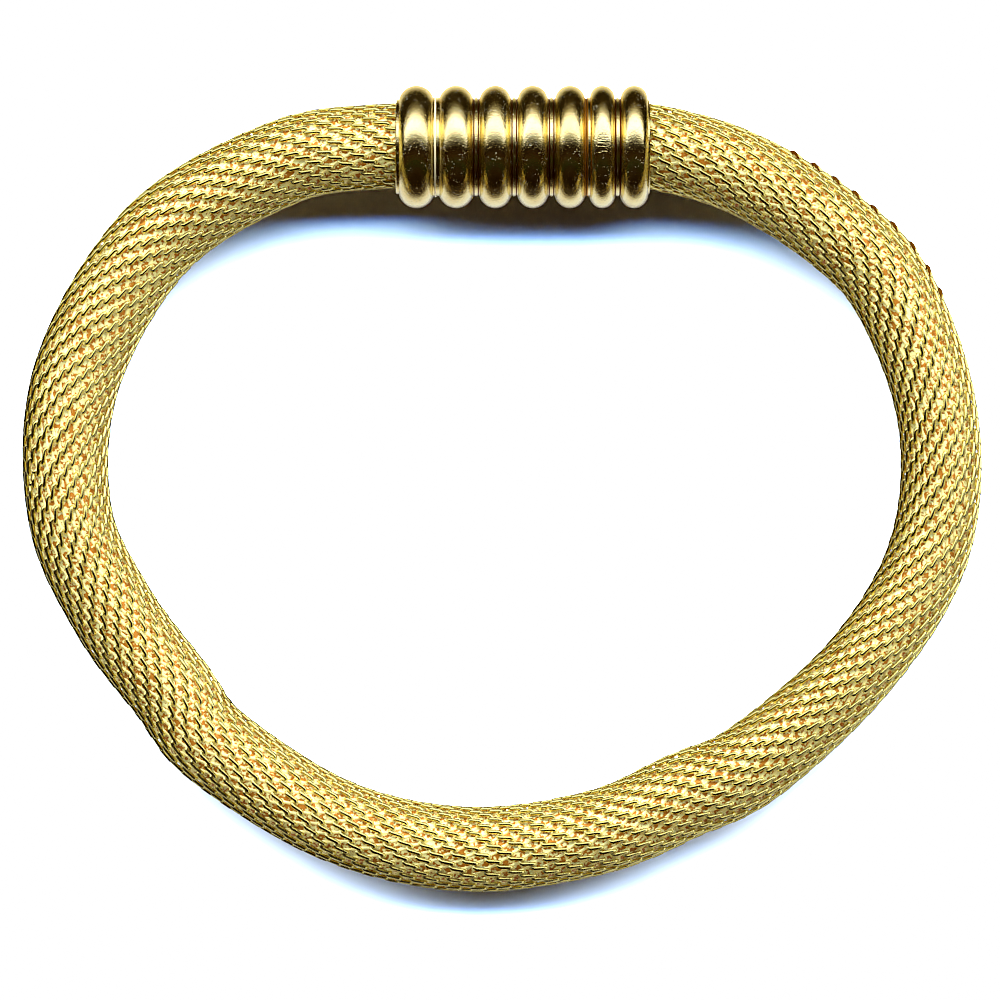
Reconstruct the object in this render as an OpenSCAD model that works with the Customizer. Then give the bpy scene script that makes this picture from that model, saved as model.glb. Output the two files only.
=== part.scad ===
// Bracelet: a hollow tube of woven wire, closed to a loop by a ribbed barrel clasp.
// It lies flat. +X runs along the clasp, +Y points from the loop's middle to the clasp
// and +Z is up. The origin is on the surface that the loop lies on, under its middle.

/* [Mesh tube] */
// Outside diameter of the woven tube where it is round
tube_d = 7.3; // [7.1:0.1:7.3]
// Thickness of the woven wall
tube_wall = 0.8; // [0.5:0.1:1.2]
// Flat sides round the tube
tube_sides = 24; // [12:4:28]
// Rings in each stretch of the tube's route
tube_steps = 5; // [2:1:5]

/* [Barrel clasp] */
// Diameter over the ribs
barrel_d = 10.4; // [10.2:0.1:11]
// Diameter of the necks between the ribs
neck_d = 8.35; // [8.2:0.05:8.8]
// Diameter of the thin lip at each end
lip_d = 8; // [7.9:0.05:8.1]
// Diameter of the socket at each end
socket_d = 7.6; // [7.55:0.05:7.7]
// Depth of the sleeve's socket
sleeve_socket = 4.4; // [4.3:0.1:6]
// Depth of the cap's socket
cap_socket = 3.4; // [3.3:0.1:3.6]
// Gap between the two closed halves
parting_gap = 0.08; // [0.04:0.01:0.2]

/* [Turned lines] */
// Width of a turned line in a neck
line_w = 0.12; // [0.08:0.01:0.16]
// Depth of a turned line
line_depth = 0.12; // [0.06:0.01:0.2]
// Distance between the two lines of a neck
line_pitch = 0.38; // [0.3:0.02:0.44]
// Radius of the raised ring in the first neck
bead_r = 0.14; // [0.1:0.01:0.2]

/* [Pin] */
// Diameter of the hidden pin
pin_d = 4.6; // [3:0.1:5.4]
// Length of the pin in the sleeve
pin_in_sleeve = 5; // [3:0.5:7]
// Length of the pin in the cap
pin_in_cap = 1.2; // [0.8:0.1:1.3]
// Gap all round the pin
pin_gap = 0.06; // [0.04:0.01:0.15]

/* [Hidden] */
$fn = 96;

barrel_r = barrel_d / 2;
neck_r = neck_d / 2;
barrel_y = 29;
barrel_left = -8.95;
barrel_right = 12.5;
parting_x = 7.15;

// The barrel's ribs, from the sleeve's end to the cap's.
RIBS = [
    [-7.3, 1.38],
    [-3.8, 1.3],
    [-0.5, 1.22],
    [2.65, 1.2],
    [5.75, 1.2],
    [8.5, 1],
    [11.2, 1.13]
];
RIB_X = 0; // middle of the rib along the barrel
RIB_HALF = 1; // half of its width where it meets the neck
SLEEVE_RIBS = [0, 1, 2, 3, 4];
CAP_RIBS = [5, 6];
LINED_SLEEVE_NECKS = [1, 2, 3]; // each neck has the number of the rib before it
LINED_CAP_NECK = 5;
BEAD_NECK = 0;

// The tube's route, once round the loop from the cap's socket to the sleeve's.
ROUTE = [
    [9.3, 29, 0, 1],
    [13.4, 28.9, 0, 0.97],
    [20.4, 26.8, -0.1, 0.6],
    [28, 22.2, -0.1, 0.15],
    [33.3, 16.6, 0, 0],
    [37, 6, -0.3, 0],
    [36.3, -5, -0.3, 0],
    [30.7, -14.6, -0.5, 0],
    [21.6, -23, 0, 0],
    [15.4, -26, 0.2, 0],
    [8, -29.1, 0, 0],
    [-3, -30.5, 0, 0],
    [-14, -28.1, -0.1, 0],
    [-24.2, -21.8, 0.1, 0],
    [-28, -17, 0.2, 0],
    [-33, -10.3, 0.2, 0],
    [-36.7, -1.8, 0, 0],
    [-36, 9.8, 0.3, 0],
    [-29.2, 21.3, 0.3, 0.1],
    [-18.8, 27.6, 0.1, 0.6],
    [-11, 29, 0, 0.97],
    [-4.7, 29, 0, 1]
];
ROUTE_X = 0; // across the loop
ROUTE_Y = 1; // towards the clasp
ROUTE_SPREAD = 2; // how much wider than round the tube lies there
ROUTE_LIFT = 3; // share of the full height that the clasp lifts it by
ROUTE_COLUMNS = [ROUTE_X, ROUTE_Y, ROUTE_SPREAD, ROUTE_LIFT];

full_lift = barrel_r - tube_d / 2;

// One column of the route between rows i and i + 1, on a smooth curve through the rows.
function route_row(i) = ROUTE[max(0, min(len(ROUTE) - 1, i))];
function curve_value(a, b, c, d, t) =
    (2 * b + (c - a) * t + (2 * a - 5 * b + 4 * c - d) * t * t + (3 * b - a - 3 * c + d) * t * t * t) / 2;
function route_value(column, i, t) =
    curve_value(
        route_row(i - 1)[column], route_row(i)[column],
        route_row(i + 1)[column], route_row(i + 2)[column], t);
function route_at(i, t) = [for (column = ROUTE_COLUMNS) route_value(column, i, t)];

STATIONS = [
    for (i = [0 : len(ROUTE) - 2])
        for (k = [0 : tube_steps - 1])
            route_at(i, k / tube_steps),
    ROUTE[len(ROUTE) - 1]
];
LAST_STATION = len(STATIONS) - 1;

// Direction of the tube in the plane that it lies in, as a unit vector.
function station_place(n) = [STATIONS[n][ROUTE_X], STATIONS[n][ROUTE_Y]];
function station_chord(n) = station_place(min(n + 1, LAST_STATION)) - station_place(max(n - 1, 0));
function station_heading(n) = station_chord(n) / norm(station_chord(n));

// One ring of the tube, with the inset taken off on every side.
// Where the tube lies wider than round, it is lower by as much.
function ring(n, inset) =
    let (
        place = station_place(n),
        heading = station_heading(n),
        half_w = (tube_d + STATIONS[n][ROUTE_SPREAD]) / 2,
        half_h = (tube_d - STATIONS[n][ROUTE_SPREAD]) / 2,
        middle_z = full_lift * max(0, STATIONS[n][ROUTE_LIFT]) + half_h
    )
    [
        for (k = [0 : tube_sides - 1])
            let (turn = 360 * k / tube_sides, out = (half_w - inset) * cos(turn))
            [
                place[0] + heading[1] * out,
                place[1] - heading[0] * out,
                middle_z + (half_h - inset) * sin(turn)
            ]
    ];

// Two triangles that cover the four corners a, b, c and d.
function quad(a, b, c, d) = [[a, c, b], [a, d, c]];

// Index of a corner in the tube's list of points: the outer rings come first.
function corner(n, k, inner) =
    (n + (inner ? LAST_STATION + 1 : 0)) * tube_sides + (k % tube_sides);

module mesh_tube() {
    points = [
        for (inset = [0, tube_wall])
            for (n = [0 : LAST_STATION])
                each ring(n, inset)
    ];
    wall_faces = [
        for (n = [0 : LAST_STATION - 1])
            for (k = [0 : tube_sides - 1])
                each concat(
                    quad(corner(n, k, false), corner(n + 1, k, false),
                        corner(n + 1, k + 1, false), corner(n, k + 1, false)),
                    quad(corner(n, k, true), corner(n, k + 1, true),
                        corner(n + 1, k + 1, true), corner(n + 1, k, true)))
    ];
    end_faces = [
        for (k = [0 : tube_sides - 1])
            each concat(
                quad(corner(0, k, false), corner(0, k + 1, false),
                    corner(0, k + 1, true), corner(0, k, true)),
                quad(corner(LAST_STATION, k, false), corner(LAST_STATION, k, true),
                    corner(LAST_STATION, k + 1, true), corner(LAST_STATION, k + 1, false)))
    ];
    color("goldenrod") polyhedron(points, concat(wall_faces, end_faces), convexity = 6);
}

// Turns an outline, drawn with its radius along X and its place along Y, about the barrel's axis.
module on_barrel_axis() {
    translate([0, barrel_y, barrel_r]) rotate([0, 90, 0]) rotate_extrude() children();
}

// A plain band of an outline, from one place along the barrel to another.
module band(radius, from_x, to_x) {
    translate([0, from_x]) square([radius, to_x - from_x]);
}

// A rib is part of a circle that is as wide at the neck as the table says.
rib_rise = barrel_r - neck_r;
function rib_radius(i) = (pow(RIBS[i][RIB_HALF], 2) + pow(rib_rise, 2)) / (2 * rib_rise);

module rib(i) {
    translate([barrel_r - rib_radius(i), RIBS[i][RIB_X]]) circle(r = rib_radius(i));
}

// Middle of the neck between rib i and the next one.
function neck_middle(i) =
    (RIBS[i][RIB_X] + RIBS[i][RIB_HALF] + RIBS[i + 1][RIB_X] - RIBS[i + 1][RIB_HALF]) / 2;

module turned_lines(i) {
    for (side = [-1, 1])
        translate([neck_r - line_depth, neck_middle(i) + side * line_pitch / 2 - line_w / 2])
            square([2 * line_depth, line_w]);
}

module clasp_sleeve() {
    end_rib_x = RIBS[SLEEVE_RIBS[0]][RIB_X];
    color("darkgoldenrod") on_barrel_axis() difference() {
        union() {
            band(lip_d / 2, barrel_left, end_rib_x);
            band(neck_r, end_rib_x, parting_x - parting_gap / 2);
            for (i = SLEEVE_RIBS) rib(i);
            translate([neck_r, neck_middle(BEAD_NECK)]) circle(r = bead_r);
        }
        band(socket_d / 2, barrel_left - 1, barrel_left + sleeve_socket);
        band(pin_d / 2 + pin_gap, parting_x - pin_in_sleeve - pin_gap, parting_x + 1);
        for (i = LINED_SLEEVE_NECKS) turned_lines(i);
    }
}

module clasp_cap() {
    end_rib_x = RIBS[CAP_RIBS[1]][RIB_X];
    color("darkgoldenrod") on_barrel_axis() difference() {
        union() {
            band(neck_r, parting_x + parting_gap / 2, end_rib_x);
            for (i = CAP_RIBS) rib(i);
            band(lip_d / 2, end_rib_x, barrel_right);
        }
        band(socket_d / 2, barrel_right - cap_socket, barrel_right + 1);
        band(pin_d / 2 + pin_gap, parting_x - 1, parting_x + pin_in_cap + pin_gap);
        turned_lines(LINED_CAP_NECK);
    }
}

module clasp_pin() {
    color("silver") on_barrel_axis()
        band(pin_d / 2, parting_x - pin_in_sleeve, parting_x + pin_in_cap);
}

mesh_tube();
clasp_sleeve();
clasp_cap();
clasp_pin();
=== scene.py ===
"""A bracelet of woven gold wire with a ribbed barrel clasp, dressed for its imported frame.

Lengths are in metres unless a name says otherwise. The loop lies flat on its surface,
+X runs along the clasp, +Y points from the middle of the loop to the clasp and +Z is up.
"""
import logging
import math
from dataclasses import dataclass
from enum import Enum
from functools import cached_property
from typing import Sequence

import bpy
import numpy as np
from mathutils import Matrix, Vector


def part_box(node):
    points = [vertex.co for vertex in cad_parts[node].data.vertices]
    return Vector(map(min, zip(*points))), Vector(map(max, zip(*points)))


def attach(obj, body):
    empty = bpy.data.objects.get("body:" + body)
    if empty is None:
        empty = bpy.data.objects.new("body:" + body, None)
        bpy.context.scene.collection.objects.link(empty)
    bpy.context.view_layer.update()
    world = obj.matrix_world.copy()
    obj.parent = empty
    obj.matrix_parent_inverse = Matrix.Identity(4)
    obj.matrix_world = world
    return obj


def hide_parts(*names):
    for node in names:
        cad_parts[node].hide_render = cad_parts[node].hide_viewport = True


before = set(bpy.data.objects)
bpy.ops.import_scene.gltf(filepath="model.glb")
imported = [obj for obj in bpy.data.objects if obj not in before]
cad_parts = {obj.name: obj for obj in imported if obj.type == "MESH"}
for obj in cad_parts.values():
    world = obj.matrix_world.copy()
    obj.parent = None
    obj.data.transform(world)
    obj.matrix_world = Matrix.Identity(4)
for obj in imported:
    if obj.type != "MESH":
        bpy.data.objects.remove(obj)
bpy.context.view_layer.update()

LOG = logging.getLogger("bracelet")
MM = 0.001
BODY = "root"
WHITE = (1.0, 1.0, 1.0)
WIRE_FIGURES = ("depth", "under", "tone")
# Sockets of a node that mixes two colours
MIX_SHARE, MIX_LOW, MIX_HIGH, MIX_COLOUR = 0, 6, 7, 2

Colour = tuple[float, float, float]
Point = tuple[float, float, float]
Span = tuple[float, float]
Outline = list[tuple[float, float]]
Socket = bpy.types.NodeSocket
Given = dict[str | int, object] | None


class Strand(Enum):
    """Which of the two wires that wind round the tube side by side."""

    FIRST = 0
    SECOND = 1


class Half(Enum):
    """The two halves of the barrel clasp, by the name of the node each one replaces."""

    SLEEVE = "clasp_sleeve"
    CAP = "clasp_cap"


# Shader graphs


class Value:
    """A number that varies over a surface, as a socket that takes part in Python arithmetic."""

    def __init__(self, graph: "Graph", socket: Socket) -> None:
        """Wraps one output socket of a graph."""
        self.graph = graph
        self.socket = socket

    def _math(self, operation: str, *numbers: "Value | float") -> "Value":
        """Adds a Math node that works on values or plain numbers, in order."""
        return self.graph.value("ShaderNodeMath", 0, {"operation": operation}, dict(enumerate(numbers)))

    def __add__(self, other: "Value | float") -> "Value":
        """Adds a value or a number."""
        return self._math("ADD", self, other)

    __radd__ = __add__

    def __sub__(self, other: "Value | float") -> "Value":
        """Takes a value or a number away."""
        return self._math("SUBTRACT", self, other)

    def __rsub__(self, other: float) -> "Value":
        """Takes this value away from a number."""
        return self._math("SUBTRACT", other, self)

    def __mul__(self, other: "Value | float") -> "Value":
        """Multiplies by a value or a number."""
        return self._math("MULTIPLY", self, other)

    __rmul__ = __mul__

    def __abs__(self) -> "Value":
        """Drops the sign."""
        return self._math("ABSOLUTE", self)

    def step(self, low: float, high: float) -> "Value":
        """Rises smoothly from 0 at low to 1 at high."""
        ends = {"Value": self, "From Min": low, "From Max": high}
        return self.graph.value("ShaderNodeMapRange", "Result", {"interpolation_type": "SMOOTHSTEP"}, ends)

    def window(self, rise: Span, fall: Span) -> "Value":
        """Rises smoothly to 1 over one span and falls back to 0 over a later one."""
        return self.step(*rise) * (1.0 - self.step(*fall))

    def near(self, middle: float, full: float, none: float) -> "Value":
        """Is 1 within the distance full of a middle, and falls smoothly to 0 at the distance none."""
        return self.window((middle - none, middle - full), (middle + full, middle + none))


class Graph:
    """Builds the nodes of one material, world or picture."""

    def __init__(self, tree: bpy.types.NodeTree) -> None:
        """Starts with an empty tree."""
        self.tree = tree
        tree.nodes.clear()

    def node(self, kind: str, settings: Given = None, inputs: Given = None) -> bpy.types.Node:
        """Adds a node.

        Args:
            kind: The node's type.
            settings: Its own settings, which are set first. A ramp's stops are places from
                0 to 1, each with its colour.
            inputs: Numbers, colours, values or output sockets for its input sockets.

        Returns:
            The new node.
        """
        made = self.tree.nodes.new(kind)
        settings = dict(settings or {})
        for number, (place, colour) in enumerate(settings.pop("stops", ())):
            stops = made.color_ramp.elements
            stop = stops[number] if number < len(stops) else stops.new(1.0)
            stop.position = place
            stop.color = (*colour, 1.0)
        for name, setting in settings.items():
            setattr(made, name, setting)
        for name, given in (inputs or {}).items():
            self._give(made.inputs[name], given)
        return made

    def _give(self, socket: Socket, given: object) -> None:
        """Links an input socket or sets its constant.

        Args:
            socket: The input socket.
            given: A value or an output socket to link, or a number or colour to set.
        """
        source = given.socket if isinstance(given, Value) else given
        if isinstance(source, Socket):
            self.tree.links.new(source, socket)
        elif isinstance(source, tuple) and socket.type == "RGBA":
            socket.default_value = (*source, 1.0)
        else:
            socket.default_value = source

    def value(self, kind: str, output: str | int, settings: Given = None, inputs: Given = None) -> Value:
        """Adds a node, as the method node does, and gives one of its outputs as a value."""
        return Value(self, self.node(kind, settings, inputs).outputs[output])

    @cached_property
    def place(self) -> Socket:
        """Each point's own coordinates."""
        return self.node("ShaderNodeTexCoord").outputs["Object"]

    def split(self, place: Socket) -> list[Value]:
        """Gives the X, Y and Z of a place or a direction."""
        parts = self.node("ShaderNodeSeparateXYZ", None, {"Vector": place})
        return [Value(self, output) for output in parts.outputs]

    def stretched(self, scale: Point, moved: Point = (0.0, 0.0, 0.0)) -> Socket:
        """Gives each point's coordinates, scaled and then moved."""
        inputs = {"Vector": self.place, "Location": moved, "Scale": scale}
        return self.node("ShaderNodeMapping", None, inputs).outputs["Vector"]

    def noise(self, scale: float, detail: float = 2.0, place: Socket | None = None) -> Value:
        """Gives smooth noise between 0 and 1, by its waves in a metre and its finer layers."""
        inputs = {"Vector": self.place if place is None else place, "Scale": scale, "Detail": detail}
        return self.value("ShaderNodeTexNoise", "Fac", None, inputs)

    def cells(self, scale: float) -> list[Value]:
        """Gives a pattern of cells: the distance to each one's middle and its own chance."""
        node = self.node("ShaderNodeTexVoronoi", {"feature": "F1"}, {"Vector": self.place, "Scale": scale})
        return [Value(self, node.outputs[name]) for name in ("Distance", "Color")]

    def blend(self, share: Value | float, low: object, high: object) -> Socket:
        """Mixes two colours, given as tuples or sockets, by the share of the second."""
        inputs = {MIX_SHARE: share, MIX_LOW: low, MIX_HIGH: high}
        return self.node("ShaderNodeMix", {"data_type": "RGBA"}, inputs).outputs[MIX_COLOUR]

    def bump(self, height: Value, distance: float, strength: float) -> Socket:
        """Turns a height, as a share of a distance, into a bumped normal."""
        inputs = {"Height": height, "Distance": distance, "Strength": strength}
        return self.node("ShaderNodeBump", None, inputs).outputs["Normal"]


# Finishes


@dataclass(frozen=True)
class Finish:
    """A finish, which each kind describes by the inputs of the main shader."""

    def inputs(self, graph: Graph) -> dict[str, object]:
        """Gives the main shader's inputs by name, made in the material's graph."""
        raise NotImplementedError

    def material(self, name: str) -> bpy.types.Material:
        """Builds the finish.

        Args:
            name: The material's name.

        Returns:
            The material.
        """
        material = bpy.data.materials.new(name)
        material.use_nodes = True
        graph = Graph(material.node_tree)
        shader = graph.node("ShaderNodeBsdfPrincipled", None, self.inputs(graph))
        graph.node("ShaderNodeOutputMaterial", None, {"Surface": shader.outputs["BSDF"]})
        return material


@dataclass(frozen=True)
class WireGold(Finish):
    """Drawn wire under bright gold plate, with painted shade: more orange deeper in the weave and dark on
    the side of each wire turned away from the lamps.
    """

    front: Colour = (0.79, 0.71, 0.275)
    inside: Colour = (0.74, 0.6, 0.22)
    shaded: Colour = (0.16, 0.07, 0.01)
    shade_span: Span = (0.5, 0.9)
    shade_depth: Span = (0.1, 0.3)
    matt_depth: Span = (0.1, 0.4)
    matt_share: float = 0.4
    roughness: float = 0.2
    inside_roughness: float = 0.2
    variety: float = 0.3
    patch_scale: float = 260.0
    patch_span: Span = (0.45, 0.8)
    patch_middle: float = 0.3
    grain_scale: float = 9000.0
    grain_detail: float = 3.0
    grain_roughness: float = 0.1
    grain_height: float = 4e-6
    grain_strength: float = 0.25

    def inputs(self, graph: Graph) -> dict[str, object]:
        """Reads the wire's own figures and works out the main shader's inputs.

        Args:
            graph: The material's graph.

        Returns:
            The inputs by name.
        """
        depth, under, tone = (
            graph.value("ShaderNodeAttribute", "Fac", {"attribute_name": name}) for name in WIRE_FIGURES
        )
        patches = graph.noise(self.patch_scale).step(*self.patch_span) - self.patch_middle
        grain = graph.noise(self.grain_scale, self.grain_detail)
        # Partly painted shade: deeper wire turns more orange, as light bouncing between the wires makes
        # it; the patches and each turn's tone vary at random.
        warm = depth + patches * self.variety + (tone - 0.5) * self.variety
        # Painted shade: near the front of the weave, the side of each wire turned away from the lamps, and
        # the loose turns, take the shaded colour.
        shade = under.step(*self.shade_span) * (1.0 - depth.step(*self.shade_depth))
        rough = self.roughness + (grain - 0.5) * self.grain_roughness + depth * self.inside_roughness
        return {
            "Base Color": graph.blend(shade, graph.blend(warm, self.front, self.inside), self.shaded),
            "Metallic": 1.0 - depth.step(*self.matt_depth) * self.matt_share,
            "Roughness": rough,
            "Normal": graph.bump(grain, self.grain_height, self.grain_strength),
        }


@dataclass(frozen=True)
class WeaveBack(Finish):
    """The inner side of the weave, seen only through its openings."""

    bright: Colour = (0.7, 0.61, 0.24)
    deep: Colour = (0.36, 0.13, 0.015)
    metal: float = 0.6
    roughness: float = 0.45
    grain_scale: float = 3200.0
    grain_span: Span = (0.47, 0.56)
    grain_roughness: float = 0.2
    grain_height: float = 6e-5
    grain_strength: float = 0.6

    def inputs(self, graph: Graph) -> dict[str, object]:
        """Works out the main shader's inputs.

        Args:
            graph: The material's graph.

        Returns:
            The inputs by name.
        """
        grain = graph.noise(self.grain_scale)
        return {
            "Base Color": graph.blend(grain.step(*self.grain_span), self.deep, self.bright),
            "Metallic": self.metal,
            "Roughness": self.roughness + (grain - 0.5) * self.grain_roughness,
            "Normal": graph.bump(grain, self.grain_height, self.grain_strength),
        }


@dataclass(frozen=True)
class PolishedGold(Finish):
    """Turned and polished gold plate with fine grain, dust, a few scratches, painted shade in its grooves
    and a painted highlight along the bead ring.

    Each share says how much of a colour, or of a change, shows where its mark is strongest.
    """

    parting: Point
    neck_r: float
    bead_highlight_x: float
    clean: Colour = (0.92, 0.8, 0.42)
    worn: Colour = (0.72, 0.52, 0.18)
    painted_groove_shade: Colour = (0.2, 0.06, 0.008)
    seam: Colour = (0.8, 0.45, 0.1)
    # Painted highlight: the bead ring's paler colour, partly matt so the board lamps light it as a bright
    # line.
    ring: Colour = (0.7, 0.55, 0.3)
    dusty: Colour = (0.9, 0.88, 0.8)
    roughness: float = 0.1
    worn_scale: float = 420.0
    worn_span: Span = (0.35, 0.75)
    worn_share: float = 0.5
    worn_roughness: float = 0.06
    fine_detail: float = 3.0
    groove_rise: Span = (-0.00016, -0.00014)
    groove_fall: Span = (-0.00004, -0.00001)
    groove_roughness: float = 0.2
    seam_reach: Span = (0.0001, 0.0002)
    seam_hidden: float = 0.6
    seam_roughness: float = 0.25
    bead_highlight_reach: Span = (0.00005, 0.0001)
    bead_highlight_rise: Span = (0.00002, 0.00006)
    bead_highlight_fall: Span = (0.0002, 0.0003)
    bead_highlight_matt: float = 0.4
    dust_scale: float = 6500.0
    dust_size: Span = (0.08, 0.18)
    dust_drift_scale: float = 1500.0
    dust_drift: Span = (0.44, 0.64)
    dust_share: float = 0.8
    dust_matt: float = 0.5
    dust_roughness: float = 0.3
    dust_hollow: float = 0.5
    lathe_scale: Point = (1.0 / 0.00009, 60.0, 60.0)
    lathe_height: float = 0.15
    grain_scale: float = 8000.0
    relief: float = 2.8e-5
    relief_strength: float = 0.6
    pit_scale: float = 6000.0
    pit_size: Span = (0.05, 0.4)
    pit_chosen: Span = (0.5, 0.52)
    pit_depth: float = 0.5
    scratch_scale: Point = (900.0, 8000.0, 900.0)
    scratch_span: Span = (0.5, 0.7)
    scratched_middle: Point = (0.0085, 0.02895, 0.00975)
    scratched: Sequence[Span] = ((0.0003, 0.0005), (0.00065, 0.00085), (0.00115, 0.00135))

    def _dust(self, graph: Graph) -> Value:
        """Scatters specks of dust in drifts, as 1 on a speck and 0 elsewhere."""
        specks = 1.0 - graph.cells(self.dust_scale)[0].step(*self.dust_size)
        return specks * graph.noise(self.dust_drift_scale, 1.0).step(*self.dust_drift)

    def _height(self, graph: Graph, dust: Value) -> Value:
        """Adds up the turned lines, the grain, the pits, the dust and one patch of scratches.

        Args:
            graph: The material's graph.
            dust: Where the dust lies.

        Returns:
            The height, as a share of the relief.
        """
        lathe = graph.noise(1.0, 1.0, graph.stretched(self.lathe_scale))
        grain = graph.noise(self.grain_scale, self.fine_detail)
        distance, chance = graph.cells(self.pit_scale)
        pits = (1.0 - distance.step(*self.pit_size)) * chance.step(*self.pit_chosen)
        marks = graph.noise(1.0, 1.0, graph.stretched(self.scratch_scale)).step(*self.scratch_span)
        for number, middle, reach in zip(graph.split(graph.place), self.scratched_middle, self.scratched):
            marks = marks * number.near(middle, *reach)
        height = lathe * self.lathe_height + grain - pits * self.pit_depth - dust * self.dust_hollow
        return height + marks

    def inputs(self, graph: Graph) -> dict[str, object]:
        """Works out the main shader's inputs, mark by mark.

        Args:
            graph: The material's graph.

        Returns:
            The inputs by name.
        """
        along = graph.split(graph.place)[0]
        _, axis_y, axis_z = self.parting
        from_axis = graph.stretched((0.0, 1.0, 1.0), (0.0, -axis_y, -axis_z))
        radius = graph.value("ShaderNodeVectorMath", "Value", {"operation": "LENGTH"}, {0: from_axis})
        over_neck = radius - self.neck_r
        worn = graph.noise(self.worn_scale, self.fine_detail)
        groove = over_neck.window(self.groove_rise, self.groove_fall)
        seam = along.near(self.parting[0], *self.seam_reach)
        # Painted highlight: where the bead ring stands, the colour goes paler and partly matt.
        ring = along.near(self.bead_highlight_x, *self.bead_highlight_reach)
        ring = ring * over_neck.window(self.bead_highlight_rise, self.bead_highlight_fall)
        dust = self._dust(graph)
        colour = graph.blend(worn.step(*self.worn_span) * self.worn_share, self.clean, self.worn)
        # Painted shade: the turned lines are darkened to dark brown.
        colour = graph.blend(groove, colour, self.painted_groove_shade)
        colour = graph.blend(seam * (1.0 - groove * self.seam_hidden), colour, self.seam)
        colour = graph.blend(ring, colour, self.ring)
        colour = graph.blend(dust * self.dust_share, colour, self.dusty)
        rough = self.roughness + worn * self.worn_roughness + dust * self.dust_roughness
        return {
            "Base Color": colour,
            "Metallic": 1.0 - dust * self.dust_matt - ring * self.bead_highlight_matt,
            "Roughness": rough + groove * self.groove_roughness + seam * self.seam_roughness,
            "Normal": graph.bump(self._height(graph, dust), self.relief, self.relief_strength),
        }


@dataclass(frozen=True)
class TurnedSteel(Finish):
    """Plain turned steel, for the pin inside the barrel."""

    light: Colour = (0.62, 0.62, 0.6)
    dark: Colour = (0.4, 0.4, 0.39)
    lathe_scale: Point = (9000.0, 80.0, 80.0)
    roughness: float = 0.35
    lathe_roughness: float = 0.1

    def inputs(self, graph: Graph) -> dict[str, object]:
        """Works out the main shader's inputs.

        Args:
            graph: The material's graph.

        Returns:
            The inputs by name.
        """
        marks = graph.noise(1.0, place=graph.stretched(self.lathe_scale))
        return {
            "Base Color": graph.blend(marks, self.light, self.dark),
            "Metallic": 1.0,
            "Roughness": self.roughness + marks * self.lathe_roughness,
        }


@dataclass(frozen=True)
class PlainSheet(Finish):
    """A plain matt sheet, in soft clouds of two nearly equal colours."""

    light: Colour
    dark: Colour
    cloud_scale: float
    roughness: float

    def inputs(self, graph: Graph) -> dict[str, object]:
        """Gives the main shader's inputs by name, made in the material's graph."""
        colour = graph.blend(graph.noise(self.cloud_scale), self.light, self.dark)
        return {"Base Color": colour, "Roughness": self.roughness}


def deselect_all() -> None:
    """Leaves nothing selected, in object mode."""
    if bpy.context.object and bpy.context.object.mode != "OBJECT":
        bpy.ops.object.mode_set(mode="OBJECT")
    bpy.ops.object.select_all(action="DESELECT")


# The woven tube


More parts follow.
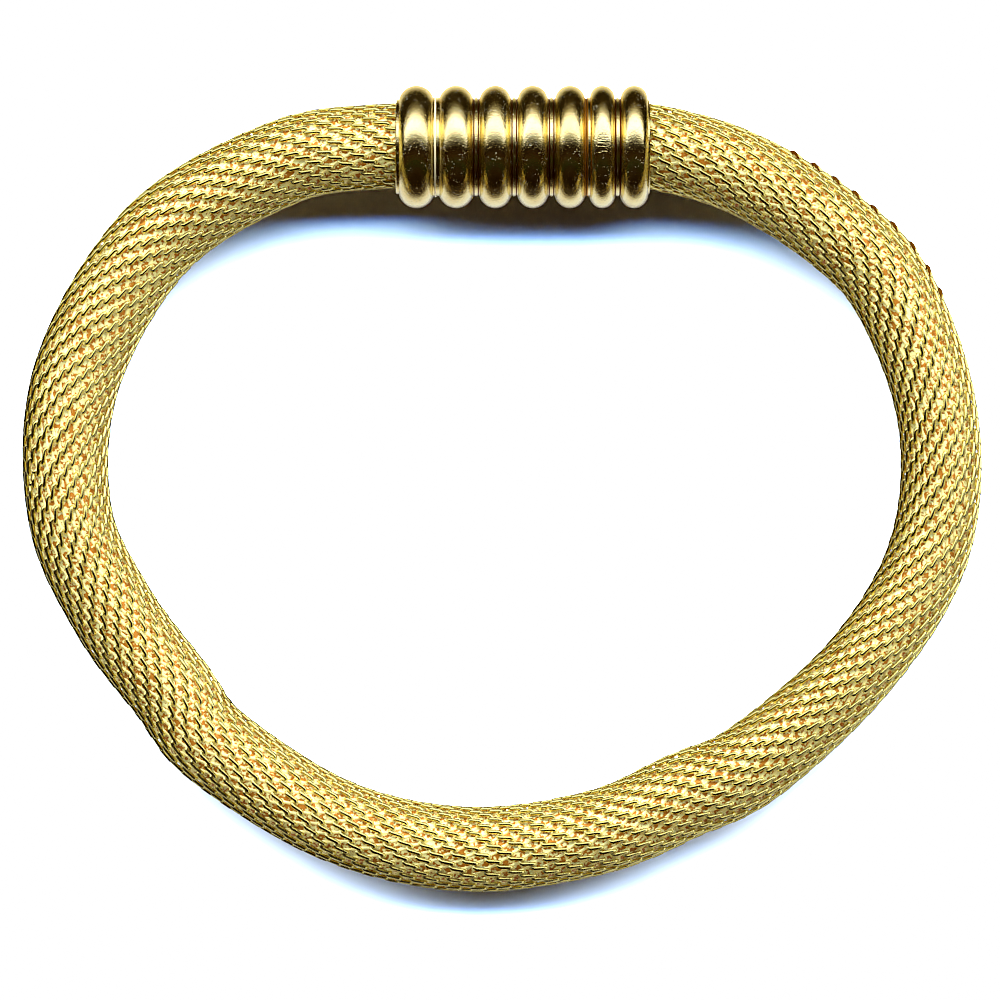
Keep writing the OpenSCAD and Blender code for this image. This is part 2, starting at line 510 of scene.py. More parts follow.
@dataclass
class TubeRoute:
    """The path and section of the woven tube, in millimetres, by length along it.

    Each row is X, Y, how much wider than round the tube lies and its share of the full lift.
    """

    rows: Sequence[tuple[float, float, float, float]] = (
        (9.3, 29, 0, 1),
        (13.4, 28.9, 0, 0.97),
        (20.4, 26.8, -0.1, 0.6),
        (28, 22.2, -0.1, 0.15),
        (33.3, 16.6, 0, 0),
        (37, 6, -0.3, 0),
        (36.3, -5, -0.3, 0),
        (30.7, -14.6, -0.5, 0),
        (21.6, -23, 0, 0),
        (15.4, -26, 0.2, 0),
        (8, -29.1, 0, 0),
        (-3, -30.5, 0, 0),
        (-14, -28.1, -0.1, 0),
        (-24.2, -21.8, 0.1, 0),
        (-28, -17, 0.2, 0),
        (-33, -10.3, 0.2, 0),
        (-36.7, -1.8, 0, 0),
        (-36, 9.8, 0.3, 0),
        (-29.2, 21.3, 0.3, 0.1),
        (-18.8, 27.6, 0.1, 0.6),
        (-11, 29, 0, 0.97),
        (-4.7, 29, 0, 1),
    )
    diameter: float = 7.3
    full_lift: float = 1.55
    steps: int = 24
    heading_step: float = 0.4

    def __post_init__(self) -> None:
        """Works out the smooth curve through the rows."""
        rows = np.array(self.rows, float)
        padded = np.vstack([rows[:1], rows, rows[-1:]])
        t = (np.arange(self.steps) / self.steps)[:, None]
        parts = [self._curve(padded[i : i + 4], t) for i in range(len(rows) - 1)]
        self.table = np.vstack([*parts, rows[-1:]])
        gaps = np.hypot(*np.diff(self.table[:, :2], axis=0).T)
        self.lengths = np.concatenate([[0.0], np.cumsum(gaps)])
        self.length = float(self.lengths[-1])

    @staticmethod
    def _curve(rows: np.ndarray, t: np.ndarray) -> np.ndarray:
        """Gives the smooth curve between the middle two of four rows.

        Args:
            rows: The four rows.
            t: Shares of the stretch, from 0 to 1.

        Returns:
            One row for each share.
        """
        a, b, c, d = rows
        bent = (2 * a - 5 * b + 4 * c - d) * t**2
        twisted = (3 * b - a - 3 * c + d) * t**3
        return (2 * b + (c - a) * t + bent + twisted) / 2

    def column(self, s: np.ndarray, i: int) -> np.ndarray:
        """Gives one column of the route at each length along it."""
        return np.interp(s, self.lengths, self.table[:, i])

    def surface(self, s: np.ndarray, turn: np.ndarray, inset: np.ndarray) -> np.ndarray:
        """Gives points on or under the tube's outer surface.

        Args:
            s: Lengths along the tube.
            turn: Angles round it, in radians, from the loop's outer side over the top.
            inset: Depths under the surface.

        Returns:
            The points, one row each.
        """
        ahead, behind = s + self.heading_step, s - self.heading_step
        heading = unit(np.stack([self.column(ahead, i) - self.column(behind, i) for i in (0, 1)], axis=1))
        spread = self.column(s, 2)
        half_w = (self.diameter + spread) / 2
        half_h = (self.diameter - spread) / 2
        middle_z = self.full_lift * np.maximum(self.column(s, 3), 0) + half_h
        out = (half_w - inset) * np.cos(turn)
        x = self.column(s, 0) - heading[:, 1] * out
        y = self.column(s, 1) + heading[:, 0] * out
        return np.stack([x, y, middle_z + (half_h - inset) * np.sin(turn)], axis=1)


def unit(rows: np.ndarray) -> np.ndarray:
    """Scales every row to a length of 1."""
    return rows / np.linalg.norm(rows, axis=1, keepdims=True)


def skin(rings: int, sides: int) -> np.ndarray:
    """Joins rings of corners by faces that look away from the rings' middles.

    Args:
        rings: How many rings there are.
        sides: How many corners each ring has.

    Returns:
        The four corners of each face, ring by ring.
    """
    ring = np.arange(rings - 1)[:, None] * sides
    k = np.arange(sides)
    after = (k + 1) % sides
    faces = np.stack([ring + k, ring + after, ring + sides + after, ring + sides + k], axis=2)
    return faces.reshape(-1, 4)


@dataclass(frozen=True)
class Wire:
    """The middle of one wire from end to end, with what each point needs, in millimetres."""

    points: np.ndarray
    outside: np.ndarray
    outward: np.ndarray
    depth: np.ndarray
    tone: np.ndarray
    loose: np.ndarray
    turn: np.ndarray

    def between(self, low: int, high: int) -> "Wire":
        """Gives the stretch from one turn to before another, with the point that joins it to the next."""
        start, end = np.searchsorted(self.turn, (low, high))
        return Wire(**{name: values[start : end + 1] for name, values in vars(self).items()})


@dataclass
class WireMesh:
    """Two flattened wire coils, wound side by side round the tube and linked through each other.

    Each drift is a length along the tube and how far the rows of rings lean there, in degrees.
    """

    route: TubeRoute
    finish: WireGold = WireGold()
    back_finish: WeaveBack = WeaveBack()
    back_inset: float = 0.6
    back_wall: float = 0.2
    back_rings: int = 300
    back_sides: int = 40
    wire_d: float = 0.36
    spacing: float = 0.95
    turns_round: float = 17.0
    half_depth: float = 0.25
    front_tilt: float = 7.0
    tip_share: float = 0.34
    tip_points: int = 6
    stretches: int = 4
    sides: int = 6
    strip_shape: float = 4.5
    loose_from: float = 13.8
    loose_to: float = 30.2
    loose_rise: float = 0.17
    along_wobble: float = 0.02
    round_wobble: float = 0.018
    inset_wobble: float = 0.015
    probe: float = 0.1
    shade_lean: float = 0.9
    shade_rise: float = 0.8
    shade_soft: float = 0.2
    seed: int = 7
    drift_places: int = 400
    drift: Sequence[Span] = (
        (0, -4), (20, 1), (45, 0), (70, 0), (90, 3), (110, 2.5), (130, 1), (150, 0), (175, 3), (200, 2),
    )

    def __post_init__(self) -> None:
        """Works out the coil's width, the outline of one turn and the rows' drift."""
        self.half_width = (self.spacing + self.wire_d) / 2
        self.mean_r = self.route.diameter / 2 - self.wire_d / 2
        self.pitch = 2 * math.pi * self.mean_r / self.turns_round
        self.wrap = 2 * self.spacing
        places = np.linspace(0, self.route.length, self.drift_places)
        slopes = np.tan(np.radians(np.interp(places, *zip(*self.drift))))
        self.drift_at = (places, np.concatenate([[0], np.cumsum(slopes[1:] * np.diff(places))]))
        self.outline = self._outline()

    def _outline(self) -> np.ndarray:
        """Works out one turn of the flattened coil.

        Returns:
            Rows of place along the tube, height over the coil's middle and share of the
            pitch gone by, from where the front strand meets the first tip.
        """
        straight = self.half_width - self.half_depth
        front_share = 2 * straight * math.tan(math.radians(self.front_tilt)) / self.pitch
        back_share = 1 - front_share - 2 * self.tip_share
        rows = []
        for side, gone in ((1, front_share / 2), (-1, front_share / 2 + self.tip_share + back_share)):
            for share in np.linspace(0, 1, self.tip_points):
                angle = math.pi * (0.5 - share) * side
                along = side * (straight + self.half_depth * math.cos(angle))
                rows.append((along, self.half_depth * math.sin(angle), gone + self.tip_share * share))
        return np.array(rows)

    def wire(self, strand: Strand) -> Wire:
        """Works out the middle of one wire, once round and along the whole tube.

        Args:
            strand: Which of the two wires.

        Returns:
            The wire.
        """
        rng = np.random.default_rng(self.seed + strand.value)
        turns = int(self.route.length / self.wrap * self.turns_round)
        along, height, gone = (np.tile(self.outline[:, i], turns) for i in range(3))
        turn = np.repeat(np.arange(turns), len(self.outline))

        def wobble(size: float) -> np.ndarray:
            """Gives each point a small error that changes smoothly from turn to turn."""
            return np.interp(turn + gone, np.arange(turns + 2), rng.normal(0, size, turns + 2))

        round_tube = 2 * math.pi * (turn + gone + strand.value / 2) / self.turns_round
        middle_s = self.route.length - self.wrap * round_tube / (2 * math.pi) + self.spacing * strand.value
        s = middle_s + along + wobble(self.along_wobble)
        angle = round_tube - (np.interp(s, *self.drift_at) + wobble(self.round_wobble)) / self.mean_r
        depth = (self.half_depth - height) / (2 * self.half_depth)
        loose = self._loose(strand, turn, s) * (1 - depth) * (along < -self.half_width / 2)
        inset = self.wire_d / 2 + self.half_depth - height + np.abs(wobble(self.inset_wobble))
        inset = inset - self.loose_rise * loose
        straight = self.half_width - self.half_depth
        lean = np.sign(along) * np.maximum(np.abs(along) - straight, 0)
        points = self.route.surface(s, angle, inset)
        outside = self.route.surface(s + self.probe * lean, angle, inset - self.probe * height)
        outward = (self.route.surface(s, angle, inset - self.probe) - points) / self.probe
        tone = rng.random(turns)[turn]
        keep = (s > self.half_width) & (s < self.route.length - self.half_width)
        return Wire(*(x[keep] for x in (points, outside, outward, depth, tone, loose, turn)))

    def _loose(self, strand: Strand, turn: np.ndarray, s: np.ndarray) -> np.ndarray:
        """Finds the turns that stand out a little on the outer side of one bend.

        Args:
            strand: Which of the two wires.
            turn: Each point's turn.
            s: Each point's length along the tube.

        Returns:
            1 for a point of a turn that stands out, and 0 for the rest.
        """
        step = 2 * math.pi / self.turns_round
        angle = (turn + strand.value / 2 + 0.5) * step - np.interp(s, *self.drift_at) / self.mean_r
        angle = (angle + math.pi) % (2 * math.pi) - math.pi
        outer = (np.abs(angle) < step / 2) & (s > self.loose_from) & (s < self.loose_to)
        return outer.astype(float) * (strand is Strand.FIRST)

    def build(self) -> list[bpy.types.Object]:
        """Builds the wires as a few joined meshes, one for each stretch of the tube.

        Returns:
            The pieces.
        """
        material = self.finish.material("gold_wire")
        wires = [self.wire(strand) for strand in Strand]
        cuts = np.linspace(0, wires[0].turn[-1] + 1, self.stretches + 1).astype(int)
        pieces = []
        for i, (low, high) in enumerate(zip(cuts, cuts[1:])):
            parts = [self._sweep(wire.between(low, high)) for wire in wires]
            starts = np.cumsum([0] + [len(part["corners"]) for part in parts[:-1]])
            corners = np.vstack([part["corners"] for part in parts])
            faces = np.vstack([part["faces"] + start for part, start in zip(parts, starts)])
            piece = self._place(f"wire_mesh_{i + 1}", corners, faces, material)
            unwrapped = self._unwrap([len(part["faces"]) for part in parts])
            piece.data.uv_layers.new(name="OFBake").data.foreach_set("uv", unwrapped.ravel())
            for key in WIRE_FIGURES:
                values = np.concatenate([part[key] for part in parts]).astype(np.float32)
                piece.data.attributes.new(key, "FLOAT", "POINT").data.foreach_set("value", values)
            pieces.append(piece)
        pieces.append(self._back())
        return pieces

    def _back(self) -> bpy.types.Object:
        """Builds the inner side of the weave as one thin closed wall.

        Returns:
            The piece.
        """
        margin = self.half_width
        places = np.linspace(margin, self.route.length - margin, self.back_rings)
        insets = np.repeat([self.back_inset, self.back_inset + self.back_wall], self.back_rings)
        round_tube = 2 * math.pi * np.arange(self.back_sides) / self.back_sides
        there_and_back = np.concatenate([places, places[::-1]])
        s, turn = (x.ravel() for x in np.meshgrid(there_and_back, round_tube, indexing="ij"))
        points = self.route.surface(s, turn, np.repeat(insets, self.back_sides))
        faces = skin(2 * self.back_rings + 1, self.back_sides) % len(points)
        return self._place("weave_back", points, faces, self.back_finish.material("gold_weave_back"))

    @staticmethod
    def _place(
        name: str, corners: np.ndarray, faces: np.ndarray, material: bpy.types.Material
    ) -> bpy.types.Object:
        """Makes a smooth piece in the tube's place.

        Args:
            name: The piece's name.
            corners: Its corners, in millimetres.
            faces: The four corners of each face.
            material: Its finish.

        Returns:
            The piece.
        """
        mesh = bpy.data.meshes.new(name)
        mesh.from_pydata((corners * MM).tolist(), [], faces.tolist())
        mesh.shade_smooth()
        mesh.materials.append(material)
        piece = bpy.data.objects.new(name, mesh)
        bpy.context.scene.collection.objects.link(piece)
        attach(piece, BODY)
        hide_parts("mesh_tube")
        return piece

    def _sweep(self, wire: Wire) -> dict[str, np.ndarray]:
        """Sweeps the wire's round section along its middle.

        Args:
            wire: The stretch of wire.

        Returns:
            The corners and faces, and for each corner its depth, its tone and its painted shade,
            by how far it is turned away from the lamps, with the loose turns painted dark.
        """
        tangent = unit(np.gradient(wire.points, axis=0))
        up = wire.outside - wire.points
        up = unit(up - tangent * (up * tangent).sum(1, keepdims=True))
        across = np.cross(tangent, up)
        angles = 2 * math.pi * (np.arange(self.sides) + 0.5) / self.sides
        section = np.cos(angles)[:, None] * up[:, None, :] + np.sin(angles)[:, None] * across[:, None, :]
        corners = wire.points[:, None, :] + self.wire_d / 2 * section
        # Painted shade: a corner darkens as it faces away from its outward side leaned up and towards the
        # lamps at +Y; loose turns are painted dark all round.
        lit = wire.outward.copy()
        lit[:, 2] += self.shade_rise * wire.outward[:, 2] / (np.abs(wire.outward[:, 2]) + self.shade_soft)
        lit[:, 1] += self.shade_lean
        under = (1 - (section * unit(lit)[:, None, :]).sum(2)) / 2 + wire.loose[:, None]
        cap = np.array([(0, i, i + 1, i + 2) for i in range(1, self.sides - 1, 2)])
        last = (len(wire.points) - 1) * self.sides
        return {
            "corners": corners.reshape(-1, 3),
            "faces": np.vstack([skin(len(wire.points), self.sides), cap[:, ::-1], cap + last]),
            "depth": np.repeat(wire.depth, self.sides),
            "under": under.ravel(),
            "tone": np.repeat(wire.tone, self.sides),
        }

    def _unwrap(self, counts: list[int]) -> np.ndarray:
        """Lays the wires flat in rows, each face beside the next one along its wire.

        Args:
            counts: How many faces each wire has, with those that close its ends.

        Returns:
            The place of every corner of every face, from 0 to 1.
        """
        closing = self.sides - 2
        cells, lanes, start = [], [], 0
        for count in counts:
            walls = np.arange(count - closing)
            ends = start + len(walls) // self.sides + np.arange(closing)
            cells += [start + walls // self.sides, ends]
            lanes += [walls % self.sides, np.zeros(closing, int)]
            start = int(ends[-1]) + 1
        cell, lane = np.concatenate(cells), np.concatenate(lanes)
        columns = math.ceil(math.sqrt(start * self.strip_shape))
        rows = math.ceil(start / columns)
        place = np.stack([cell % columns, (cell // columns) * self.sides + lane], axis=1)
        corners = np.array([(0, 0), (0, 1), (1, 1), (1, 0)])
        return (place[:, None, :] + corners) / (columns, rows * self.sides)


# The barrel clasp


@dataclass(frozen=True)
class Rib:
    """One rib of the barrel, in millimetres along its axis."""

    middle: float
    half: float


def bulge(middle: float, height: float, r: float, widest: float, steps: int) -> Outline:
    """Runs over part of a circle, from one side of its top to the other, as far as the widest angle."""
    angles = (widest * (2 * i / steps - 1) for i in range(steps + 1))
    return [(middle + r * math.sin(a), height + r * math.cos(a)) for a in angles]


@dataclass
class BarrelClasp:
    """The two turned halves of the barrel, in millimetres.

    An outline is a list of places along the barrel, each with its radius.
    """

    neck_d: float = 8.35
    lip_d: float = 8.0
    socket_d: float = 7.6
    sleeve_socket: float = 4.4
    cap_socket: float = 3.4
    bore_d: float = 4.72
    sleeve_bore: float = 5.06
    cap_bore: float = 1.26
    line_w: float = 0.12
    line_depth: float = 0.12
    line_pitch: float = 0.38
    line_floor: float = 0.5
    bead_r: float = 0.1
    bead_x: float = -5.62
    bead_steps: int = 8
    edge: float = 0.05
    step_depth: float = 0.12
    step_gap: float = 0.015
    arc_steps: int = 26
    spin_steps: int = 128
    least_step: float = 0.0001
    merge_gap: float = 0.001
    smooth_angle: float = 30.0
    sleeve_ribs: int = 5
    ribs: Sequence[Rib] = (
        Rib(-7.23, 1.45),
        Rib(-3.87, 1.42),
        Rib(-0.56, 1.32),
        Rib(2.62, 1.28),
        Rib(5.77, 1.27),
        Rib(8.5, 1.06),
        Rib(11.2, 1.16),
    )

    def __post_init__(self) -> None:
        """Takes the barrel's axis, radius and ends from the frame."""
        sleeve_low, sleeve_high = (Vector(p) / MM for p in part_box(Half.SLEEVE.value))
        cap_low, cap_high = (Vector(p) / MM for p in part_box(Half.CAP.value))
        self.radius = (sleeve_high.y - sleeve_low.y) / 2
        self.axis_y = (sleeve_high.y + sleeve_low.y) / 2
        self.axis_z = (sleeve_high.z + sleeve_low.z) / 2
        self.left, self.sleeve_end = sleeve_low.x, sleeve_high.x
        self.cap_end, self.right = cap_low.x, cap_high.x
        self.neck_r = self.neck_d / 2

    def _arc(self, rib: Rib) -> Outline:
        """Runs over a rib, whose section is part of a circle.

        Args:
            rib: The rib.

        Returns:
            Its part of the outline.
        """
        rise = self.radius - self.neck_r
        curve = (rib.half**2 + rise**2) / (2 * rise)
        widest = math.asin(min(rib.half / curve, 1.0))
        if curve < rise:
            widest = math.pi - widest
        return bulge(rib.middle, self.radius - curve, curve, widest, self.arc_steps)

    def _lines(self, before: Rib, after: Rib) -> Outline:
        """Cuts the two turned lines of a neck.

        Args:
            before: The rib before the neck.
            after: The rib after it.

        Returns:
            The neck's part of the outline.
        """
        middle = (before.middle + before.half + after.middle - after.half) / 2
        top, low = self.line_w / 2, self.line_w / 2 * self.line_floor
        line = ((-top, 0.0), (-low, self.line_depth), (low, self.line_depth), (top, 0.0))
        starts = (middle - self.line_pitch / 2, middle + self.line_pitch / 2)
        return [(start + x, self.neck_r - depth) for start in starts for x, depth in line]

    def _socket(self, end: float, depth: float, rib: Rib) -> Outline:
        """Draws one end of the barrel, from its socket's floor round the lip to the nearest rib.

        Args:
            end: The end's place along the barrel.
            depth: How deep the socket is.
            rib: The nearest rib.

        Returns:
            The end's part of the outline.
        """
        way = math.copysign(1.0, rib.middle - end)
        floor, edge = end + way * depth, end + way * self.edge
        socket, lip = self.socket_d / 2, self.lip_d / 2
        inside = [(floor, 0.0), (floor, socket), (edge, socket), (end, socket + self.edge)]
        return [*inside, (end, lip - self.edge), (edge, lip), (rib.middle - way * rib.half, lip)]

    def sleeve_outline(self) -> Outline:
        """Draws the longer half, with a fine step where the shorter half meets it.

        Returns:
            The outline, from the socket's floor round the outside to the bore's floor.
        """
        first, *others = self.ribs[: self.sleeve_ribs]
        outline = self._socket(self.left, self.sleeve_socket, first) + self._arc(first)
        outline += bulge(self.bead_x, self.neck_r, self.bead_r, math.pi / 2, self.bead_steps)
        for before, after in zip(others, others[1:]):
            outline += self._arc(before) + self._lines(before, after)
        outline += self._arc(others[-1])
        end, bore, bore_r = self.sleeve_end, self.sleeve_end - self.sleeve_bore, self.bore_d / 2
        step_x, step_r = self.cap_end - self.step_gap, self.neck_r - self.step_depth
        inner_r = step_r - 2 * self.step_depth
        outline += [(end - self.edge, self.neck_r), (end, self.neck_r - self.edge), (end, step_r)]
        outline += [(step_x, step_r), (step_x, inner_r), (end, inner_r)]
        return outline + [(end, bore_r), (bore, bore_r), (bore, 0.0)]

    def cap_outline(self) -> Outline:
        """Draws the shorter half.

        Returns:
            The outline, from the bore's floor round the outside to the socket's floor.
        """
        inner, outer = self.ribs[self.sleeve_ribs :]
        end, bore, bore_r = self.cap_end, self.cap_end + self.cap_bore, self.bore_d / 2
        outline = [(bore, 0.0), (bore, bore_r), (end, bore_r), (end, self.neck_r - self.edge)]
        outline += [(end + self.edge, self.neck_r)] + self._arc(inner) + self._lines(inner, outer)
        return outline + self._arc(outer) + self._socket(self.right, self.cap_socket, outer)[::-1]

    def _turn(self, half: Half, outline: Outline, finish: PolishedGold) -> bpy.types.Object:
        """Turns an outline about the barrel's axis and dresses it.

        Args:
            half: Which half it is.
            outline: Its outline.
            finish: Its finish.

        Returns:
            The piece.
        """
        deselect_all()
        centre = Vector((0.0, self.axis_y, self.axis_z)) * MM
        points = [Vector((x * MM, centre.y, centre.z + r * MM)) for x, r in outline]
        bpy.ops.mesh.primitive_plane_add(size=MM, location=points[0])
        piece = bpy.context.object
        piece.name = f"{half.value}_turned"
        bpy.ops.object.transform_apply(location=True, rotation=True, scale=True)
        bpy.ops.object.mode_set(mode="EDIT")
        bpy.ops.mesh.select_all(action="SELECT")
        bpy.ops.mesh.merge(type="CENTER")
        for before, after in zip(points, points[1:]):
            if (after - before).length > self.least_step * MM:
                bpy.ops.mesh.extrude_vertices_move(TRANSFORM_OT_translate={"value": after - before})
        bpy.ops.mesh.select_all(action="SELECT")
        bpy.ops.mesh.spin(
            steps=self.spin_steps,
            angle=2 * math.pi,
            center=centre,
            axis=(1.0, 0.0, 0.0),
            use_auto_merge=True,
        )
        bpy.ops.mesh.select_all(action="SELECT")
        bpy.ops.mesh.remove_doubles(threshold=self.merge_gap * MM)
        bpy.ops.mesh.normals_make_consistent(inside=False)
        bpy.ops.object.mode_set(mode="OBJECT")
        bpy.ops.object.shade_smooth_by_angle(angle=math.radians(self.smooth_angle))
        piece.data.materials.append(finish.material(f"gold_{piece.name}"))
        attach(piece, BODY)
        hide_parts(half.value)
        return piece

    def build(self) -> list[bpy.types.Object]:
        """Builds both halves.

        Returns:
            The two pieces.
        """
        parting = ((self.sleeve_end + self.cap_end) / 2 * MM, self.axis_y * MM, self.axis_z * MM)
        finish = PolishedGold(parting, self.neck_r * MM, self.bead_x * MM)
        sleeve = self._turn(Half.SLEEVE, self.sleeve_outline(), finish)
        cap = self._turn(Half.CAP, self.cap_outline(), finish)
        return [sleeve, cap]


@dataclass
class HiddenPin:
    """The plain pin inside the barrel, which stays as the frame has it."""

    finish: TurnedSteel = TurnedSteel()

    def dress(self) -> bpy.types.Object:
        """Gives the pin its finish.

        Returns:
            The pin's object.
        """
        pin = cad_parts["clasp_pin"]
        pin.data.materials.clear()
        pin.data.materials.append(self.finish.material("steel_pin"))
        return pin


# The studio


class Reach(Enum):
    """What a lamp does: whether metal reflects it, and whether it lights the woven tube alone."""

    SHINE = (True, False)
    MATT = (False, False)
    WEAVE_SHINE = (True, True)
    WEAVE_MATT = (False, True)


@dataclass(frozen=True)
class Lamp:
    """A long soft lamp, by the angles from straight above that it covers, in degrees.

    Its turn is the angle from the clasp's side of the loop towards +X.
    """

    name: str
    reach: Reach
    top: float
    bottom: float
    radiance: float
    colour: Colour = WHITE
    turn: float = 0.0


@dataclass(frozen=True)
class Surround:
    """What shine sees round the bracelet: a dim brown room over the glow of the lit board.

    Each span is a stretch of a direction's X, Y or Z, or of their sum, where a part sets in.
    """

    near_board: Colour = (0.85, 0.9, 1.0)
    far_board: Colour = (1.05, 1.0, 0.88)
    rim_board: Colour = (1.25, 1.1, 0.7)
    seen: Colour = (0.9, 0.9, 0.9)
    bounced: Colour = (0.01, 0.008, 0.007)
    dark_by_y: Sequence[tuple[float, Colour]] = (
        (0.02, (0.002, 0.0004, 0.0003)),
        (0.07, (0.003, 0.001, 0.0006)),
        (0.14, (0.01, 0.005, 0.002)),
        (0.21, (0.004, 0.007, 0.003)),
        (0.25, (0.006, 0.018, 0.006)),
        (0.3, (0.018, 0.014, 0.004)),
        (0.34, (0.018, 0.008, 0.002)),
        (0.44, (0.003, 0.001, 0.001)),
        (0.54, (0.005, 0.007, 0.005)),
        (0.9, (0.012, 0.01, 0.005)),
        (1.0, (0.018, 0.014, 0.006)),
    )
    horizon: Span = (-0.64, -0.26)
    slope: float = 30.0
    side_dark: float = 0.8
    away: Span = (-0.15, 0.1)
    shadow: Span = (-0.97, -0.9)
    shadow_dark: float = 0.8
    ahead: Span = (-0.05, 0.1)
    rim_height: Span = (-0.95, -0.58)
    rim_side: Span = (0.3, 0.7)
    far_height: Span = (-0.75, -0.4)

    def build(self) -> None:
        """Makes the world, whose glow and darkness only shine sees."""
        world = bpy.data.worlds.new("surround")
        world.use_nodes = True
        bpy.context.scene.world = world
        graph = Graph(world.node_tree)
        across, along, height = graph.split(graph.node("ShaderNodeTexCoord").outputs["Generated"])
        sideways = abs(across)
        below = 1.0 - height.step(*self.horizon)
        slope = math.tan(math.radians(self.slope))
        away = 1.0 - (along + height * slope + sideways * self.side_dark).step(*self.away)
        shadow = 1.0 - height.step(*self.shadow)
        ahead = along.step(*self.ahead)
        rim = ahead * (1.0 - height.step(*self.rim_height)) * (1.0 - sideways.step(*self.rim_side))
        lit = below * away * (1.0 - shadow * self.shadow_dark) * (1.0 - ahead) + rim
        dark = graph.node("ShaderNodeValToRGB", {"stops": self.dark_by_y}, {"Fac": along * 0.5 + 0.5})
        board = graph.blend(height.step(*self.far_height), self.near_board, self.far_board)
        board = graph.blend(ahead, board, self.rim_board)
        rays = graph.node("ShaderNodeLightPath").outputs
        first = 1.0 - Value(graph, rays["Diffuse Depth"]).step(0.0, 1.0)
        glow = graph.blend(lit * first, dark.outputs["Color"], board)
        plain = graph.blend(rays["Is Diffuse Ray"], self.seen, self.bounced)
        colour = graph.blend(rays["Is Glossy Ray"], plain, glow)
        shade = graph.node("ShaderNodeBackground", None, {"Color": colour})
        graph.node("ShaderNodeOutputWorld", None, {"Surface": shade.outputs["Background"]})


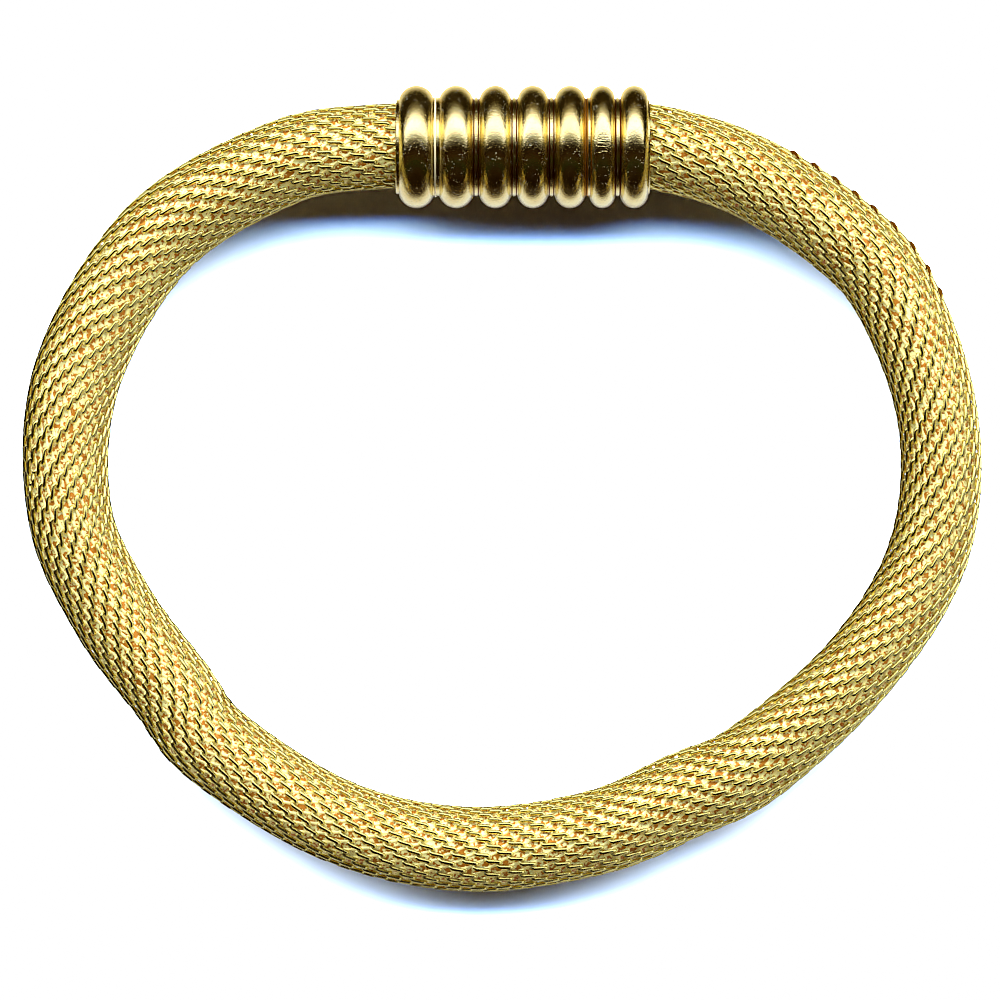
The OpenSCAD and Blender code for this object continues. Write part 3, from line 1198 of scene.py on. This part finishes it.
@dataclass
class Studio:
    """A pale board, long soft lamps on the clasp's side and a camera straight above."""

    weave: Sequence[bpy.types.Object]
    surround: Surround = Surround()
    board_side: float = 4.0
    board_drop: float = 0.00002
    board_finish: PlainSheet = PlainSheet((0.93, 0.93, 0.93), (0.9, 0.9, 0.905), 30.0, 0.8)
    lamp_distance: float = 2.0
    lamp_length: float = 14.0
    shine: float = 2.2
    lamps: Sequence[Lamp] = (
        Lamp("lamp_steepest", Reach.SHINE, 11.0, 19.0, 0.12),
        Lamp("lamp_steep", Reach.SHINE, 19.0, 27.0, 0.36, (0.9, 0.97, 1.0)),
        Lamp("lamp_middle", Reach.SHINE, 27.0, 60.0, 1.0, (0.99, 0.99, 1.0)),
        Lamp("lamp_low", Reach.SHINE, 60.0, 71.0, 0.33, (1.0, 0.93, 0.75)),
        Lamp("lamp_lowest", Reach.SHINE, 72.0, 84.0, 0.08, (1.0, 0.93, 0.7)),
        Lamp("board_lamp_blue", Reach.MATT, 18.8, 22.6, 30.0, (0.1, 0.3, 1.0)),
        Lamp("board_lamp_pale", Reach.MATT, 21.6, 27.6, 30.0, (0.6, 0.9, 1.0)),
        Lamp("board_lamp_white", Reach.MATT, 26.6, 60.0, 18.0),
        Lamp("weave_lamp", Reach.WEAVE_MATT, -70.0, 10.0, 1.2),
        Lamp("weave_low_lamp", Reach.WEAVE_SHINE, 60.0, 86.0, 0.4),
        Lamp("weave_side_lamp", Reach.WEAVE_SHINE, 50.0, 86.0, 0.4, turn=90.0),
    )
    card_width: float = 0.05
    card_drop: float = 0.0036
    card_height: float = 0.0063
    card_finish: PlainSheet = PlainSheet((0.006, 0.004, 0.003), (0.01, 0.007, 0.005), 900.0, 1.0)
    picture_width: float = 0.08475
    picture_middle: Span = (-0.00015, -0.0009)
    lens: float = 300.0
    sensor: float = 36.0
    focus_height: float = 0.0045
    camera_reach: float = 20.0
    eye_gamma: float = 2.2
    crisp_size: int = 2
    crisp_amount: float = 1.0
    black_point: Colour = (0.98, 1.01, 1.04)

    def board(self) -> None:
        """Lays the board."""
        deselect_all()
        bpy.ops.mesh.primitive_plane_add(size=self.board_side, location=(0.0, 0.0, -self.board_drop))
        board = bpy.context.object
        board.name = "pale_board"
        board.data.materials.append(self.board_finish.material("pale_board"))
        board.visible_glossy = False

    def flag(self) -> None:
        """Hangs a dark card, which only shine sees, before the far side of the loop."""
        deselect_all()
        upright = (math.pi / 2, 0.0, 0.0)
        bpy.ops.mesh.primitive_plane_add(size=1.0, location=(0.0, 0.0, self.card_height), rotation=upright)
        card = bpy.context.object
        card.name = "dark_card"
        card.scale = (self.card_width, self.card_drop, 1.0)
        bpy.ops.object.transform_apply(location=True, rotation=True, scale=True)
        card.data.materials.append(self.card_finish.material("dark_card"))
        card.visible_camera = False
        card.visible_diffuse = False
        card.visible_shadow = False

    def hang(self, lamp: Lamp) -> None:
        """Hangs one long lamp, facing the bracelet.

        Args:
            lamp: The lamp.
        """
        shiny, weave_only = lamp.reach.value
        tilt, turn = math.radians((lamp.top + lamp.bottom) / 2), math.radians(lamp.turn)
        width = 2 * self.lamp_distance * math.tan(math.radians((lamp.bottom - lamp.top) / 2))
        low = math.sin(tilt)
        place = Vector((math.sin(turn) * low, math.cos(turn) * low, math.cos(tilt))) * self.lamp_distance
        bpy.ops.object.light_add(type="AREA", location=place, rotation=(-tilt, 0.0, -turn))
        hung = bpy.context.object
        hung.name = lamp.name
        hung.data.shape = "RECTANGLE"
        hung.data.size = self.lamp_length
        hung.data.size_y = width
        radiance = lamp.radiance * (self.shine if shiny else 1.0)
        hung.data.energy = radiance * math.pi * self.lamp_length * width
        hung.data.color = lamp.colour
        hung.visible_camera = False
        hung.visible_diffuse = not shiny
        hung.visible_glossy = shiny
        if weave_only:
            lit = bpy.data.collections.new(f"{lamp.name}_lights")
            for piece in self.weave:
                lit.objects.link(piece)
            hung.light_linking.receiver_collection = lit

    def camera(self) -> None:
        """Places the camera straight above."""
        distance = self.picture_width * self.lens / self.sensor
        place = (*self.picture_middle, self.focus_height + distance)
        bpy.ops.object.camera_add(location=place, rotation=(0.0, 0.0, 0.0))
        camera = bpy.context.object
        camera.name = "overhead_camera"
        camera.data.lens = self.lens
        camera.data.sensor_width = self.sensor
        camera.data.clip_end = self.camera_reach
        bpy.context.scene.camera = camera

    def crispness(self) -> None:
        """Brings out the finest detail of the picture, as a flatbed scan does."""
        scene = bpy.context.scene
        scene.use_nodes = True
        graph = Graph(scene.node_tree)

        def mix(kind: str, first: object, second: object, amount: float = 1.0) -> Socket:
            """Combines two pictures, and keeps any result but a difference from black to white."""
            how = {"blend_type": kind, "use_clamp": kind != "SUBTRACT"}
            return graph.node("CompositorNodeMixRGB", how, {0: amount, 1: first, 2: second}).outputs[0]

        def gamma(picture: Socket, power: float) -> Socket:
            """Changes a picture from linear light to the eye's scale or back."""
            return graph.node("CompositorNodeGamma", None, {0: picture, 1: power}).outputs[0]

        plain = mix("MULTIPLY", graph.node("CompositorNodeRLayers").outputs["Image"], WHITE)
        seen = gamma(plain, 1 / self.eye_gamma)
        blur = {"filter_type": "GAUSS", "size_x": self.crisp_size, "size_y": self.crisp_size}
        soft = graph.node("CompositorNodeBlur", blur, {0: seen}).outputs[0]
        crisp = mix("ADD", seen, mix("SUBTRACT", seen, soft), self.crisp_amount)
        darkness = mix("MULTIPLY", mix("SUBTRACT", WHITE, crisp), self.black_point)
        warm = gamma(mix("SUBTRACT", WHITE, darkness), self.eye_gamma)
        graph.node("CompositorNodeComposite", None, {0: warm})

    def build(self) -> None:
        """Lays the board, hangs the lamps and places the camera."""
        self.board()
        self.flag()
        for lamp in self.lamps:
            self.hang(lamp)
        self.surround.build()
        self.camera()
        bpy.context.scene.view_settings.view_transform = "Standard"
        self.crispness()


def main() -> None:
    """Builds the bracelet piece by piece, then the studio round it."""
    logging.basicConfig(level=logging.INFO, format="%(name)s: %(message)s")
    weave = WireMesh(TubeRoute()).build()
    for piece in [*weave, *BarrelClasp().build()]:
        LOG.info("%s: %d faces", piece.name, len(piece.data.polygons))
    LOG.info("%s dressed", HiddenPin().dress().name)
    Studio(weave).build()
    LOG.info("studio ready")
    LOG.info("sizes written")


if __name__ == "__main__":
    main()
